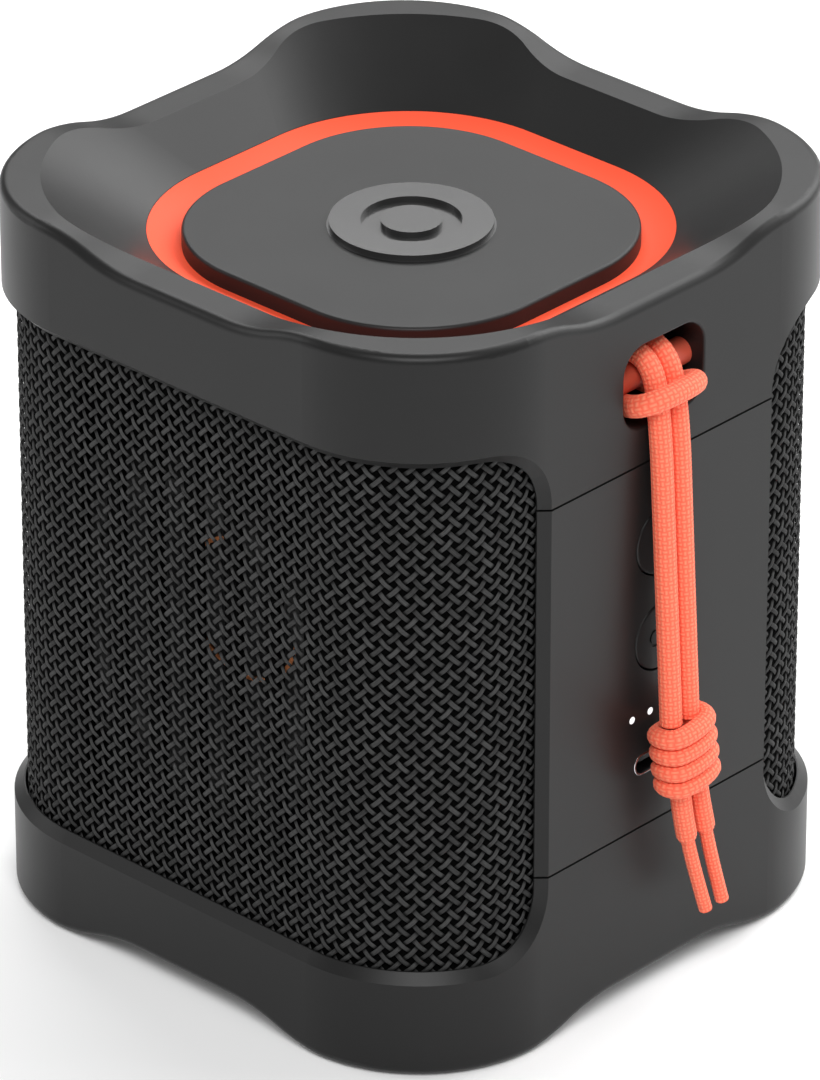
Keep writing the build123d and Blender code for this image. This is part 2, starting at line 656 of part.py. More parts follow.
def make_tie_screws():
    screws = []
    for x, y in TIE_PLACES:
        shaft = rod((x, y, FLOOR_LOW), (0, 0, 1), 1.25, 94.0 - FLOOR_LOW)
        head = rod((x, y, FLOOR_LOW - 1.8), (0, 0, 1), 2.6, 1.8)
        head -= hex_socket((x, y, FLOOR_LOW - 1.8), 1.0, (0, 0, -1))
        screws.append(shaft + head)
    return group(screws)


def make_base_plate():
    plate = rounded_prism(29.5, 10.0, 3.4, 4.6)
    for x, y in BASE_SCREWS:
        plate -= rod((x, y, 0), (0, 0, 1), 1.2, 10)
    for x, y in TIE_PLACES:
        plate -= rod((x, y, 0), (0, 0, 1), 3.2, 10)
    return plate


def make_base_gasket():
    ring = rounded_prism(29.0, 9.5, 4.6, 5.0) - rounded_prism(25.0, 8.0, 4, 6)
    for x, y in BASE_SCREWS:
        ring -= rod((x, y, 0), (0, 0, 1), 1.6, 10)
    for x, y in TIE_PLACES:
        ring -= rod((x, y, 0), (0, 0, 1), 3.2, 10)
    return ring


def make_base_screws():
    screws = []
    for x, y in BASE_SCREWS:
        shaft = rod((x, y, 3.4), (0, 0, 1), 1.0, 3.0)
        head = rod((x, y, 2.3), (0, 0, 1), 2.0, 1.1) - hex_socket((x, y, 2.3), 0.7, (0, 0, -1))
        screws.append(shaft + head)
    return group(screws)


# ---- Lanyard -----------------------------------------------------------------------
def make_lanyard_post():
    return rod((POST_X, -HOLE_HALF - 1.2, POST_Z), (0, 1, 0), POST_R, 2 * HOLE_HALF + 2.4)


CORD_ROUTE = [
    (47.85, -2.3, 42.05), (45.4, -2.45, 84.2), (43.25, -1.75, 93.05), (36.4, -2.1, 93.05),
    (36.4, -2.8, 86.1), (40.7, -4.4, 86.1), (46.6, -5.6, 88.9), (46.6, 5.0, 88.9),
    (40.7, 4.2, 86.1), (36.4, 2.2, 86.1), (36.4, 1.55, 93.05), (43.25, 1.35, 93.05),
    (45.4, 0.95, 84.2), (47.85, 1.0, 42.05),
]
TAIL_ROUTES = {
    "lanyard_tail_left": [
        (48.0, -1.95, 41.95), (48.2, -0.85, 31.6), (48.5, 0.4, 24.2), (48.9, 2.05, 17.6), (49.2, 3.6, 12.4)],
    "lanyard_tail_right": [
        (48.0, 1.1, 41.95), (48.2, 2.5, 31.6), (48.5, 4.0, 24.2), (48.9, 5.4, 17.8), (49.2, 6.85, 12.45)],
}


def make_lanyard_cord():
    wrap = POST_R + CORD_R - 0.15
    radii = arc_radii(CORD_ROUTE, 30.0)
    for i in (1, 2, 3, 8, 9, 10):
        radii[i] = min(radii[i], wrap)
    print("lanyard arcs, mm:", [round(r, 2) for r in radii])
    path = round_path(CORD_ROUTE, radii)
    cord = tube(path, CORD_R)
    swept = cord.volume / (math.pi * CORD_R**2 * path.length)
    print(f"lanyard length {path.length:.1f} mm, volume over section times length {swept:.4f}")
    return cord


def make_lanyard_knot():
    """The outer shape of four turns wound round both strands."""
    top, bottom = Vector(*KNOT_TOP), Vector(*KNOT_BOTTOM)
    place = Plane(origin=bottom, x_dir=(0, 1, 0), z_dir=top - bottom)
    body = extrude(place * SlotCenterToCenter(2 * KNOT_SPREAD, 2 * KNOT_RADIUS), (top - bottom).length)
    return fillet([e for e in body.edges() if e.length > 3 and abs((e @ 0).Z - (e @ 1).Z) < 2], 1.2)


def make_tail(name):
    """A tail runs down through the knot and hangs below it."""
    route = TAIL_ROUTES[name]
    radii = arc_radii(route, 40.0)
    path = round_path(route, radii)
    tail = tube(path, TAIL_R)
    swept = tail.volume / (math.pi * TAIL_R**2 * path.length)
    print(name, f"length {path.length:.1f} mm, volume over section times length {swept:.4f},",
          "arcs, mm:", [round(r, 1) for r in radii])
    return tail


TAILS = {name: make_tail(name) for name in TAIL_ROUTES}


def make_tail_sleeves():
    sleeves = []
    for name, tail in TAILS.items():
        start, end = (Vector(*point) for point in TAIL_ROUTES[name][1:3])
        start -= (end - start).normalized() * 1.5  # its upper end is held in the knot
        sleeves.append(rod(start, end - start, SLEEVE_R, (end - start).length) - tail)
    return group(sleeves)


# ---- Write every piece -------------------------------------------------------------
PIECES = {
    "top_cap": make_top_cap(),
    "bottom_cap": make_bottom_cap(),
    "control_panel": make_control_panel(),
    "grille_weave": make_grille_weave(),
    "grille_cage": make_grille_cage(),
    "radiator_plate": make_radiator_plate(),
    "radiator_emblem": make_radiator_emblem(),
    "radiator_surround": make_radiator_surround(),
    "radiator_clamp": make_radiator_clamp(),
    "light_guide": make_light_guide(),
    "status_leds": make_leds(),
    "tact_switches": make_tact_switches(),
    "usb_port_shell": make_usb_shell(),
    "usb_port_tongue": make_usb_tongue(),
    "main_board": make_main_board(),
    "board_screws": make_board_screws(),
    "cabinet": make_cabinet(),
    "cabinet_gasket": make_cabinet_gasket(),
    "wire_grommets": make_grommets(),
    "battery_cells": make_cells(),
    "cell_links": make_cell_links(),
    "cell_cradle": make_cell_cradle(),
    "damping_pad": make_damping_pad(),
    "cell_wires": make_cell_wires(),
    "driver_wires": make_driver_wires(),
    "tie_screws": make_tie_screws(),
    "base_plate": make_base_plate(),
    "base_gasket": make_base_gasket(),
    "base_screws": make_base_screws(),
    "foot_pads": group(foot_pad_shapes(0.0, 1.5)),
    "lanyard_post": make_lanyard_post(),
    "lanyard_cord": make_lanyard_cord(),
    "lanyard_knot": make_lanyard_knot(),
    "lanyard_sleeves": make_tail_sleeves(),
}
PIECES.update({name: make_button(name) for name in BUTTON_HEIGHTS})
PIECES.update({name: make_board_parts(name) for name in BACK_SIDE})
PIECES.update(TAILS)
PIECES.update(make_driver())

os.makedirs("parts", exist_ok=True)
for node, shape in PIECES.items():
    export_step(shape, f"parts/{node}.step")
print(len(PIECES), "pieces written")
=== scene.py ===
# %% [markdown]
# # A portable speaker with a wrist cord
#
# This lesson dresses a finished CAD model of a small speaker. The CAD gives every hard piece its
# exact shape and place, and here the pieces get their finish, the grille its cloth and the cord
# its braid. Each step says what the real thing is like before it shows how it is made.
# All sizes are in metres, so a millimetre is written 1 * MM.

import json
import math

import bpy
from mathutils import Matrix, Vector


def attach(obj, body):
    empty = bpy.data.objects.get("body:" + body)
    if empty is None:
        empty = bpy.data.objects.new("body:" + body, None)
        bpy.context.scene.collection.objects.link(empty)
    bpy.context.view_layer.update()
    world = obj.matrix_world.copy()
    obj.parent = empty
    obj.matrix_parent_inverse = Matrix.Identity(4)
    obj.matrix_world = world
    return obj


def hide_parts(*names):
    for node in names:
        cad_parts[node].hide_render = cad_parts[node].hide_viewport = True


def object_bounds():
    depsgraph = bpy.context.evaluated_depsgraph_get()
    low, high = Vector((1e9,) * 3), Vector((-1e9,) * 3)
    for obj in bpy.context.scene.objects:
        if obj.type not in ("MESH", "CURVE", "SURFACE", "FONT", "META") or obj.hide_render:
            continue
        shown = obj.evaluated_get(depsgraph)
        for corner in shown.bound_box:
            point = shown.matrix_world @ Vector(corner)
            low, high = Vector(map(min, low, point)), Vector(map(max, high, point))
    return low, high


MM = 0.001
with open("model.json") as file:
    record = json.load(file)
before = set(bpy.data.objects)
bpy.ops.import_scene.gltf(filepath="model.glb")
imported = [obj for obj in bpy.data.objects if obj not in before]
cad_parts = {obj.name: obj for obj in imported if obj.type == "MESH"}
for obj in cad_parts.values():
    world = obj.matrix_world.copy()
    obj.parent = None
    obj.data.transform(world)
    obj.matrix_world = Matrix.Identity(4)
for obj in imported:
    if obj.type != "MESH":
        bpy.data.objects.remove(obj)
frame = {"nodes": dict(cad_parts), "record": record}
cad_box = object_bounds()
size = cad_box[1] - cad_box[0]
print("CAD nodes:", len(frame["nodes"]), "box, mm:", [round(s / MM, 1) for s in size])

# %% [markdown]
# ## Camera
#
# The speaker stands a little turned, so that the camera looks down on one upright edge and sees
# the grille on the left and the control strip on the right. A long lens from a metre away keeps
# the uprights nearly parallel.

# %% Camera
AZIMUTH, ELEVATION = math.radians(43.118), math.radians(28.373)
DISTANCE = 1.1128
LENS, SENSOR = 281.9, 36.0  # both in millimetres, as the camera counts them
AIM_HEIGHT, AIM_SHIFT = 50.3 * MM, 0.185 * MM

back = Vector((
    math.sin(AZIMUTH) * math.cos(ELEVATION),
    -math.cos(AZIMUTH) * math.cos(ELEVATION),
    math.sin(ELEVATION),
))
right = Vector((math.cos(AZIMUTH), math.sin(AZIMUTH), 0))
aim = Vector((0, 0, AIM_HEIGHT)) - right * AIM_SHIFT

lens = bpy.data.cameras.new("product_lens")
lens.lens, lens.sensor_width = LENS, SENSOR
camera = bpy.data.objects.new("product_camera", lens)
camera.location = aim + back * DISTANCE
camera.rotation_mode = "QUATERNION"
camera.rotation_quaternion = (-back).to_track_quat("-Z", "Y")
bpy.context.collection.objects.link(camera)
bpy.context.scene.camera = camera
print("camera at", [round(c, 3) for c in camera.location])

# %% [markdown]
# ## Small helpers for node trees
#
# Shader trees and Geometry Nodes trees are both lists of nodes and links. One helper adds a node
# and fills its sockets: a value is set, and another node's socket is linked.

# %% Node helpers
def add(tree, kind, *values, at=None, **settings):
    """One node. Values go to its sockets in order, at={name or number: value} to chosen ones."""
    made = tree.nodes.new(kind)
    for name, value in settings.items():
        setattr(made, name, value)
    wanted = dict(enumerate(values))
    wanted.update(at or {})
    for key, value in wanted.items():
        if value is None:
            continue
        if isinstance(value, bpy.types.NodeSocket):
            tree.links.new(value, made.inputs[key])
        else:
            made.inputs[key].default_value = value
    return made


def maths(tree, operation, *values):
    """A Math node's result."""
    return add(tree, "ShaderNodeMath", *values, operation=operation).outputs[0]


def vector_maths(tree, operation, *values):
    """A Vector Math node's result."""
    return add(tree, "ShaderNodeVectorMath", *values, operation=operation).outputs[0]


def new_group(name, kind, inputs, outputs):
    """A node group with named sockets, and its two end nodes."""
    tree = bpy.data.node_groups.new(name, kind)
    for label, socket, value in inputs:
        made = tree.interface.new_socket(name=label, in_out="INPUT", socket_type=socket)
        if value is not None:
            made.default_value = value
    for label, socket in outputs:
        tree.interface.new_socket(name=label, in_out="OUTPUT", socket_type=socket)
    return tree, tree.nodes.new("NodeGroupInput"), tree.nodes.new("NodeGroupOutput")


def grow(source, tree, values):
    """The plain mesh that a Geometry Nodes tree makes on an object."""
    modifier = source.modifiers.new("grow", "NODES")
    modifier.node_group = tree
    named = {s.name: s.identifier for s in tree.interface.items_tree if s.in_out == "INPUT"}
    for name, value in values.items():
        modifier[named[name]] = value
    bpy.context.view_layer.update()
    seen = source.evaluated_get(bpy.context.evaluated_depsgraph_get())
    mesh = bpy.data.meshes.new_from_object(seen)
    source.modifiers.remove(modifier)
    return mesh


def piece(name, mesh, body="enclosure"):
    """A finished piece: a mesh object at the origin that moves with a body."""
    made = bpy.data.objects.new(name, mesh)
    mesh.name = name
    bpy.context.collection.objects.link(made)
    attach(made, body)
    print(f"{name}: {len(mesh.polygons)} faces")
    return made


def helper(name, data):
    """An object that is not a piece: a working object, a lamp or the floor."""
    made = bpy.data.objects.new(name, data)
    bpy.context.collection.objects.link(made)
    return made


# %% [markdown]
# ## The wrist cord's route
#
# The cord is one length of 3 mm braid. It is folded in two, the fold goes round the bar in the
# top band from below, comes out at the front and lies across both legs, and the legs hang down
# to the knot. Below the knot each leg goes on as a tail, half bare core and half still sheathed.
# A NURBS spline of order 3 bends smoothly between its points and never overshoots, which is how
# a limp cord takes a turn. The points of the routes are in millimetres.

# %% Cord routes
LOOP_ROUTE = [
    (47.85, -2.3, 42.05), (46.2, -2.4, 70.2), (45.4, -2.45, 84.2), (43.25, -1.75, 93.05),
    (36.4, -2.1, 93.05), (36.4, -2.8, 86.1), (40.7, -4.4, 86.1), (46.6, -5.6, 88.9),
    (46.6, 5.0, 88.9), (40.7, 4.2, 86.1), (36.4, 2.2, 86.1), (36.4, 1.55, 93.05),
    (43.25, 1.35, 93.05), (45.4, 0.95, 84.2), (46.2, 0.97, 70.2), (47.85, 1.0, 42.05),
]
TAIL_ROUTES = {
    "left": [
        (48.0, -1.95, 41.95), (48.2, -0.85, 31.6), (48.5, 0.4, 24.2), (48.9, 2.05, 17.6),
        (49.2, 3.6, 12.4),
    ],
    "right": [
        (48.0, 1.1, 41.95), (48.2, 2.5, 31.6), (48.5, 4.0, 24.2), (48.9, 5.4, 17.8),
        (49.2, 6.85, 12.45),
    ],
}
CORD_R, TAIL_R, SLEEVE_R, TURN_R = 1.5 * MM, 0.93 * MM, 1.4 * MM, 1.33 * MM
KNOT_TOP, KNOT_BOTTOM = Vector((47.95, -0.6, 42.45)) * MM, Vector((48.12, 0.8, 32.2)) * MM


def smooth_line(name, route):
    """A mesh of one line of short edges along a smooth spline through a route in metres."""
    curve = bpy.data.curves.new(name, "CURVE")
    curve.dimensions = "3D"
    curve.resolution_u = 24
    spline = curve.splines.new("NURBS")
    spline.points.add(len(route) - 1)
    for spot, place in zip(spline.points, route):
        spot.co = (*place, 1)
    spline.order_u = 3
    spline.use_endpoint_u = True
    holder = helper(name, curve)
    bpy.context.view_layer.update()
    mesh = bpy.data.meshes.new_from_object(holder)
    bpy.data.objects.remove(holder)
    return mesh


def line_length(mesh):
    """The length of a line mesh, whose vertices are in order."""
    spots = [v.co for v in mesh.vertices]
    return sum((b - a).length for a, b in zip(spots, spots[1:]))


loop_line = smooth_line("loop_line", [Vector(p) * MM for p in LOOP_ROUTE])
tail_lines = {
    side: smooth_line(f"tail_line_{side}", [Vector(p) * MM for p in route])
    for side, route in TAIL_ROUTES.items()
}
print("loop, mm:", round(line_length(loop_line) / MM, 1))
for side, line in tail_lines.items():
    print(side, "tail, mm:", round(line_length(line) / MM, 1))

# %% [markdown]
# The knot is the same cord wound four times round both legs. Each turn lies flat on the one
# below over the front and climbs by one thickness at the back, where the legs hide the step.
# Its ends are tucked in behind the turns.

# %% The knot's winding
TURNS, POINTS_PER_TURN = 4, 18
KNOT_REACH, KNOT_SPREAD = 3.6 * MM - TURN_R, 1.45 * MM
TURN_STEP = ((KNOT_TOP - KNOT_BOTTOM).length - 2 * TURN_R) / (TURNS - 1)
CLIMB_PART = 0.3  # it climbs within this share of a turn, each way from the back
STRAIGHTEN = 1.6  # how soon a turn runs straight from leg to leg
TUCK, TUCK_POINTS = 0.4, 3  # how far the last points of each end are drawn in

knot_axis = (KNOT_TOP - KNOT_BOTTOM).normalized()
knot_out = Vector((0, 1, 0)).cross(knot_axis).normalized()
knot_side = knot_axis.cross(knot_out)


def clamp(value, low=-1.0, high=1.0):
    return max(low, min(high, value))


def winding():
    """Points of a cord wound round two legs, from below, starting at the back."""
    points, last = [], TURNS * POINTS_PER_TURN
    for i in range(last + 1):
        turn, part = divmod(i / POINTS_PER_TURN + 0.5, 1.0)
        angle = 2 * math.pi * part
        climb = turn - 0.5 + 0.5 * math.sin(math.pi / 2 * clamp((part - 0.5) / CLIMB_PART))
        height = TURN_R + TURN_STEP * clamp(climb, 0, TURNS - 1)
        ends = max(0, 1 - i / TUCK_POINTS) + max(0, 1 - (last - i) / TUCK_POINTS)
        reach = KNOT_REACH * (1 - TUCK * ends)
        out = reach * math.cos(angle)
        side = reach * math.sin(angle) + KNOT_SPREAD * clamp(STRAIGHTEN * math.sin(angle))
        points.append(KNOT_BOTTOM + knot_axis * height + knot_out * out + knot_side * side)
    return points


knot_line = smooth_line("knot_line", winding())
print("winding, mm:", round(line_length(knot_line) / MM, 1))
print("step from turn to turn, mm:", round(TURN_STEP / MM, 2))

# %% [markdown]
# ## Braided sheath
#
# The cord's sheath is a basket weave: short floats that lie along the cord beside short floats
# that lie round it. A Geometry Nodes tree sweeps a circle along the route, gives each point its
# place along and round the cord, and lifts the surface where a float lies. The place round the
# cord is kept as a cosine and a sine, so that nothing jumps where the circle closes.

# %% Braid tree
SHEATH = {
    "Sides": 56, "Step": 0.16 * MM, "Cells Around": 14, "Cell Length": 0.64 * MM,
    "Relief": 0.04 * MM,
}
CORE = {**SHEATH, "Sides": 40, "Cells Around": 10}
ROUNDED, SQUARE = 2.4, 0.25  # powers that shape a float across its width and at its ends


def cell_pattern(tree, around, along):
    """Height of a basket weave, 0 in the grooves to 1, and which cells lie round the cord.

    Both coordinates are counted in cells."""
    cell_a, cell_b = maths(tree, "FLOOR", around), maths(tree, "FLOOR", along)
    in_a, in_b = maths(tree, "FRACT", around), maths(tree, "FRACT", along)
    odd = maths(tree, "FLOORED_MODULO", maths(tree, "ADD", cell_a, cell_b), 2.0)
    even = maths(tree, "SUBTRACT", 1.0, odd)
    across = maths(
        tree, "ADD", maths(tree, "MULTIPLY", in_a, even), maths(tree, "MULTIPLY", in_b, odd))
    length = maths(
        tree, "ADD", maths(tree, "MULTIPLY", in_b, even), maths(tree, "MULTIPLY", in_a, odd))
    hump = maths(tree, "SINE", maths(tree, "MULTIPLY", across, math.pi))
    ends = maths(tree, "SINE", maths(tree, "MULTIPLY", length, math.pi))
    height = maths(
        tree, "MULTIPLY", maths(tree, "POWER", hump, ROUNDED), maths(tree, "POWER", ends, SQUARE))
    return height, odd


def counted(tree, geometry, label, output):
    """Geometry that carries the spline's own measure of place under a label."""
    kept = add(tree, "GeometryNodeCaptureAttribute", at={"Geometry": geometry})
    kept.capture_items.new("FLOAT", label)
    measure = add(tree, "GeometryNodeSplineParameter").outputs[output]
    tree.links.new(measure, kept.inputs[label])
    return kept.outputs["Geometry"], kept.outputs[label]


def make_braid_tree():
    inputs = [
        ("Line", "NodeSocketGeometry", None), ("Radius", "NodeSocketFloat", CORD_R),
        ("Sides", "NodeSocketInt", SHEATH["Sides"]), ("Step", "NodeSocketFloat", SHEATH["Step"]),
        ("Cells Around", "NodeSocketInt", SHEATH["Cells Around"]),
        ("Cell Length", "NodeSocketFloat", SHEATH["Cell Length"]),
        ("Relief", "NodeSocketFloat", SHEATH["Relief"]), ("Material", "NodeSocketMaterial", None),
    ]
    outputs = [("Mesh", "NodeSocketGeometry")]
    tree, start, end = new_group("braided_sheath", "GeometryNodeTree", inputs, outputs)
    tree.is_modifier = True
    given = start.outputs

    # A circle is swept along the line, and every point knows its place along and round it.
    line = add(tree, "GeometryNodeMeshToCurve", given["Line"]).outputs[0]
    line = add(tree, "GeometryNodeResampleCurve", mode="LENGTH", at={
        "Curve": line, "Length": given["Step"]}).outputs[0]
    line, along = counted(tree, line, "along", "Length")
    ring = add(tree, "GeometryNodeCurvePrimitiveCircle", mode="RADIUS", at={
        "Resolution": given["Sides"], "Radius": given["Radius"]}).outputs[0]
    ring, around = counted(tree, ring, "around", "Factor")
    swept = add(tree, "GeometryNodeCurveToMesh", at={
        "Curve": line, "Profile Curve": ring, "Fill Caps": True})

    # The grooves sink below the circle by the relief.
    cells_round = maths(tree, "MULTIPLY", around, given["Cells Around"])
    cells_along = maths(tree, "DIVIDE", along, given["Cell Length"])
    height, _ = cell_pattern(tree, cells_round, cells_along)
    lift = maths(tree, "MULTIPLY", maths(tree, "SUBTRACT", height, 1.0), given["Relief"])
    normal = add(tree, "GeometryNodeInputNormal").outputs[0]
    offset = add(tree, "ShaderNodeVectorMath", operation="SCALE", at={0: normal, "Scale": lift})

    # The material reads the same place, so it is stored on the mesh before the points move.
    angle = maths(tree, "MULTIPLY", around, 2 * math.pi)
    place = add(tree, "ShaderNodeCombineXYZ",
                maths(tree, "COSINE", angle), maths(tree, "SINE", angle), cells_along)
    kept = add(tree, "GeometryNodeStoreNamedAttribute", data_type="FLOAT_VECTOR", domain="POINT",
               at={"Geometry": swept.outputs[0], "Name": "braid_place", "Value": place.outputs[0]})
    moved = add(tree, "GeometryNodeSetPosition", at={
        "Geometry": kept.outputs[0], "Offset": offset.outputs[0]})
    smooth = add(tree, "GeometryNodeSetShadeSmooth", at={"Geometry": moved.outputs[0]})
    dressed = add(tree, "GeometryNodeSetMaterial", at={
        "Geometry": smooth.outputs[0], "Material": given["Material"]})
    tree.links.new(dressed.outputs[0], end.inputs[0])
    return tree


braid_tree = make_braid_tree()
print("braid tree:", len(braid_tree.nodes), "nodes")

# %% [markdown]
# ## Finishes shared by several pieces
#
# Two effects come back in many materials, so each is a node group. Moulded plastic has a fine
# spark-eroded grain, and every thread is a bundle of fibres that run along it.

# %% Shared effects
def make_grain_group():
    inputs = [
        ("Grain Size", "NodeSocketFloat", 0.12 * MM), ("Patch Size", "NodeSocketFloat", 14 * MM),
    ]
    outputs = [("Height", "NodeSocketFloat"), ("Patches", "NodeSocketFloat")]
    tree, start, end = new_group("moulded_grain", "ShaderNodeTree", inputs, outputs)
    place = add(tree, "ShaderNodeTexCoord").outputs["Object"]
    fine = maths(tree, "DIVIDE", 1.0, start.outputs["Grain Size"])
    broad = maths(tree, "DIVIDE", 1.0, start.outputs["Patch Size"])
    grain = add(tree, "ShaderNodeTexNoise", at={
        "Vector": place, "Scale": fine, "Detail": 1.0, "Roughness": 0.6})
    patch = add(tree, "ShaderNodeTexNoise", at={"Vector": place, "Scale": broad, "Detail": 2.0})
    tree.links.new(grain.outputs["Fac"], end.inputs["Height"])
    tree.links.new(patch.outputs["Fac"], end.inputs["Patches"])
    return tree


def make_fibre_group():
    inputs = [
        ("Place", "NodeSocketVector", None), ("Along", "NodeSocketFloat", 1.0),
        ("Across", "NodeSocketFloat", 12.0),
    ]
    outputs = [("Fibres", "NodeSocketFloat")]
    tree, start, end = new_group("thread_fibres", "ShaderNodeTree", inputs, outputs)
    given = start.outputs
    stretch = add(tree, "ShaderNodeCombineXYZ", given["Along"], given["Across"], 1.0).outputs[0]
    place = vector_maths(tree, "MULTIPLY", given["Place"], stretch)
    noise = add(tree, "ShaderNodeTexNoise", at={
        "Vector": place, "Scale": 1.0, "Detail": 2.0, "Roughness": 0.6})
    tree.links.new(noise.outputs["Fac"], end.inputs["Fibres"])
    return tree


grain_group, fibre_group = make_grain_group(), make_fibre_group()
print("shared effects:", grain_group.name, fibre_group.name)

# %% [markdown]
# Hard pieces share a recipe: a base colour with a faint change of tone from patch to patch, a
# roughness that varies with it, and the grain as a shallow bump. Rubber, paint and bare metal
# differ only in the numbers.

# %% Hard finishes
def ramp(tree, value, low, high):
    """A value from 0 to 1 spread between two numbers."""
    return add(tree, "ShaderNodeMapRange", at={
        "Value": value, "To Min": low, "To Max": high}).outputs[0]


def tint(tree, factor, first, second):
    """A colour between two, chosen by a factor."""
    mix = add(tree, "ShaderNodeMix", data_type="RGBA", at={0: factor})
    mix.inputs[6].default_value, mix.inputs[7].default_value = (*first, 1), (*second, 1)
    return mix.outputs[2]


def hard_finish(name, colour, rough, grain=0.12, depth=0.004, vary=0.08, metal=0.0, patch=14.0,
                specular=0.5):
    """Moulded or machined material. Grain, patch and the bump's depth are in millimetres."""
    made = bpy.data.materials.new(name)
    made.use_nodes = True
    tree = made.node_tree
    shader = tree.nodes["Principled BSDF"]
    effect = add(tree, "ShaderNodeGroup", node_tree=grain_group, at={
        "Grain Size": grain * MM, "Patch Size": patch * MM})
    patches = effect.outputs["Patches"]
    darker, lighter = [c * (1 - vary) for c in colour], [min(1, c * (1 + vary)) for c in colour]
    tree.links.new(tint(tree, patches, darker, lighter), shader.inputs["Base Color"])
    tree.links.new(ramp(tree, patches, rough * 0.92, rough * 1.08), shader.inputs["Roughness"])
    bump = add(tree, "ShaderNodeBump", at={
        "Strength": 1.0, "Distance": depth * MM, "Height": effect.outputs["Height"]})
    tree.links.new(bump.outputs[0], shader.inputs["Normal"])
    shader.inputs["Metallic"].default_value = metal
    shader.inputs["Specular IOR Level"].default_value = specular
    return made


def grey(level):
    return (level, level, level)


RECIPES = {
    # what shows from outside
    "soft_touch_black": dict(colour=grey(0.009), rough=0.42, grain=0.14, specular=0.27),
    "panel_black": dict(colour=grey(0.009), rough=0.38, depth=0.003, specular=0.27),
    "plate_black": dict(colour=grey(0.012), rough=0.44, grain=0.16, depth=0.005, specular=0.24),
    "badge_satin": dict(colour=grey(0.030), rough=0.25, grain=0.10, depth=0.001),
    "cage_black": dict(colour=grey(0.002), rough=0.85, grain=0.2, depth=0.006, specular=0.05),
    "coral_rubber": dict(
        colour=(0.95, 0.100, 0.042), rough=0.62, grain=0.10, depth=0.003, vary=0.03, specular=0.2),
    "coral_plastic": dict(colour=(0.62, 0.10, 0.055), rough=0.45, depth=0.002, vary=0.04),
    "lit_guide": dict(colour=grey(0.35), rough=0.3, grain=0.2, depth=0.001, vary=0.01),
    # rubber, foam and paper
    "black_rubber": dict(colour=grey(0.014), rough=0.62, grain=0.3, depth=0.02),
    "black_foam": dict(colour=grey(0.012), rough=0.95, grain=0.45, depth=0.15, specular=0.1),
    "cone_pulp": dict(
        colour=(0.022, 0.022, 0.023), rough=0.85, grain=0.35, depth=0.05, specular=0.25),
    # metal
    "plated_steel": dict(
        colour=(0.62, 0.62, 0.63), rough=0.22, grain=0.4, depth=0.002, metal=1.0),
    "blackened_steel": dict(colour=(0.045, 0.045, 0.048), rough=0.38, grain=0.2, metal=0.8),
    "nickel": dict(colour=(0.66, 0.62, 0.55), rough=0.28, grain=0.3, depth=0.003, metal=1.0),
    "ferrite": dict(colour=(0.055, 0.055, 0.058), rough=0.55, grain=0.25, depth=0.012),
    "copper_wire": dict(colour=(0.72, 0.26, 0.10), rough=0.30, grain=0.2, depth=0.008, metal=1.0),
    # electronics
    "chip_resin": dict(colour=(0.012, 0.012, 0.013), rough=0.45, grain=0.08),
    "solder_mask": dict(colour=(0.012, 0.085, 0.035), rough=0.28, grain=0.5, vary=0.2, patch=3),
    "cell_wrap": dict(colour=(0.02, 0.10, 0.32), rough=0.30, grain=0.6, depth=0.006, vary=0.05),
    "wire_sleeve": dict(colour=(0.42, 0.02, 0.015), rough=0.40, grain=0.2, depth=0.003),
    "milky_plastic": dict(
        colour=(0.80, 0.80, 0.78), rough=0.35, grain=0.2, depth=0.001, vary=0.02),
    "clear_resin": dict(colour=(0.75, 0.70, 0.42), rough=0.15, grain=0.2, depth=0.001, vary=0.04),
}
FINISHES = {name: hard_finish(name, **recipe) for name, recipe in RECIPES.items()}
print("hard finishes:", len(FINISHES))

# %% [markdown]
# The status lights are lit, so the light guide behind the strip glows by the same strength all
# over. Then every CAD node takes the finish of its material slot, but for two: the light guide,
# and the driver's wires, whose sleeve is black so that they don't show through the cloth.

# %% Dress the CAD nodes
lit = FINISHES["lit_guide"].node_tree.nodes["Principled BSDF"]
lit.inputs["Emission Color"].default_value = (1.0, 1.0, 1.0, 1)
lit.inputs["Emission Strength"].default_value = 0.85

SLOT_FINISH = {
    "shell_plastic": "soft_touch_black", "panel_plastic": "panel_black",
    "grille_fabric": "cage_black", "cage_plastic": "cage_black", "plate_plastic": "plate_black",
    "emblem_plastic": "badge_satin", "coral_rubber": "coral_rubber",
    "coral_cord": "coral_rubber", "coral_plastic": "coral_plastic",
    "black_rubber": "black_rubber", "black_foam": "black_foam", "light_plastic": "milky_plastic",
    "led_resin": "clear_resin", "plated_steel": "plated_steel", "dark_steel": "blackened_steel",
    "board_laminate": "solder_mask", "chip_resin": "chip_resin", "cell_can": "cell_wrap",
    "nickel_strip": "nickel", "ferrite": "ferrite", "copper": "copper_wire",
    "cone_paper": "cone_pulp", "wire_sleeve": "wire_sleeve",
}
slot_of = {part["node"]: part["material_slot"] for part in frame["record"]["subparts"]}
OWN_FINISH = {"light_guide": "lit_guide", "driver_wires": "black_rubber"}
for name, node in frame["nodes"].items():
    finish = FINISHES[OWN_FINISH.get(name, SLOT_FINISH[slot_of[name]])]
    node.data.materials.clear()
    node.data.materials.append(finish)
print("dressed CAD nodes:", len(frame["nodes"]))

# %% [markdown]
# ## Cord finish
#
# The mesh raises the braid's floats by 0.04 mm. The material adds what is finer: painted shade
# in the grooves between the floats, and the fibres that run along each one. It reads the place
# that the tree stored, so the pattern follows every bend.

# %% Braid material
# The darker coral is painted shade in the grooves between the floats, and the lighter coral is the
# float tops.
CORAL, CORAL_GROOVE_SHADE = (1.0, 0.27, 0.15), (0.95, 0.10, 0.045)
FIBRE_SHARE, SHADE_STRENGTH = 0.35, 0.75  # how much the fibres count, and the pattern in all


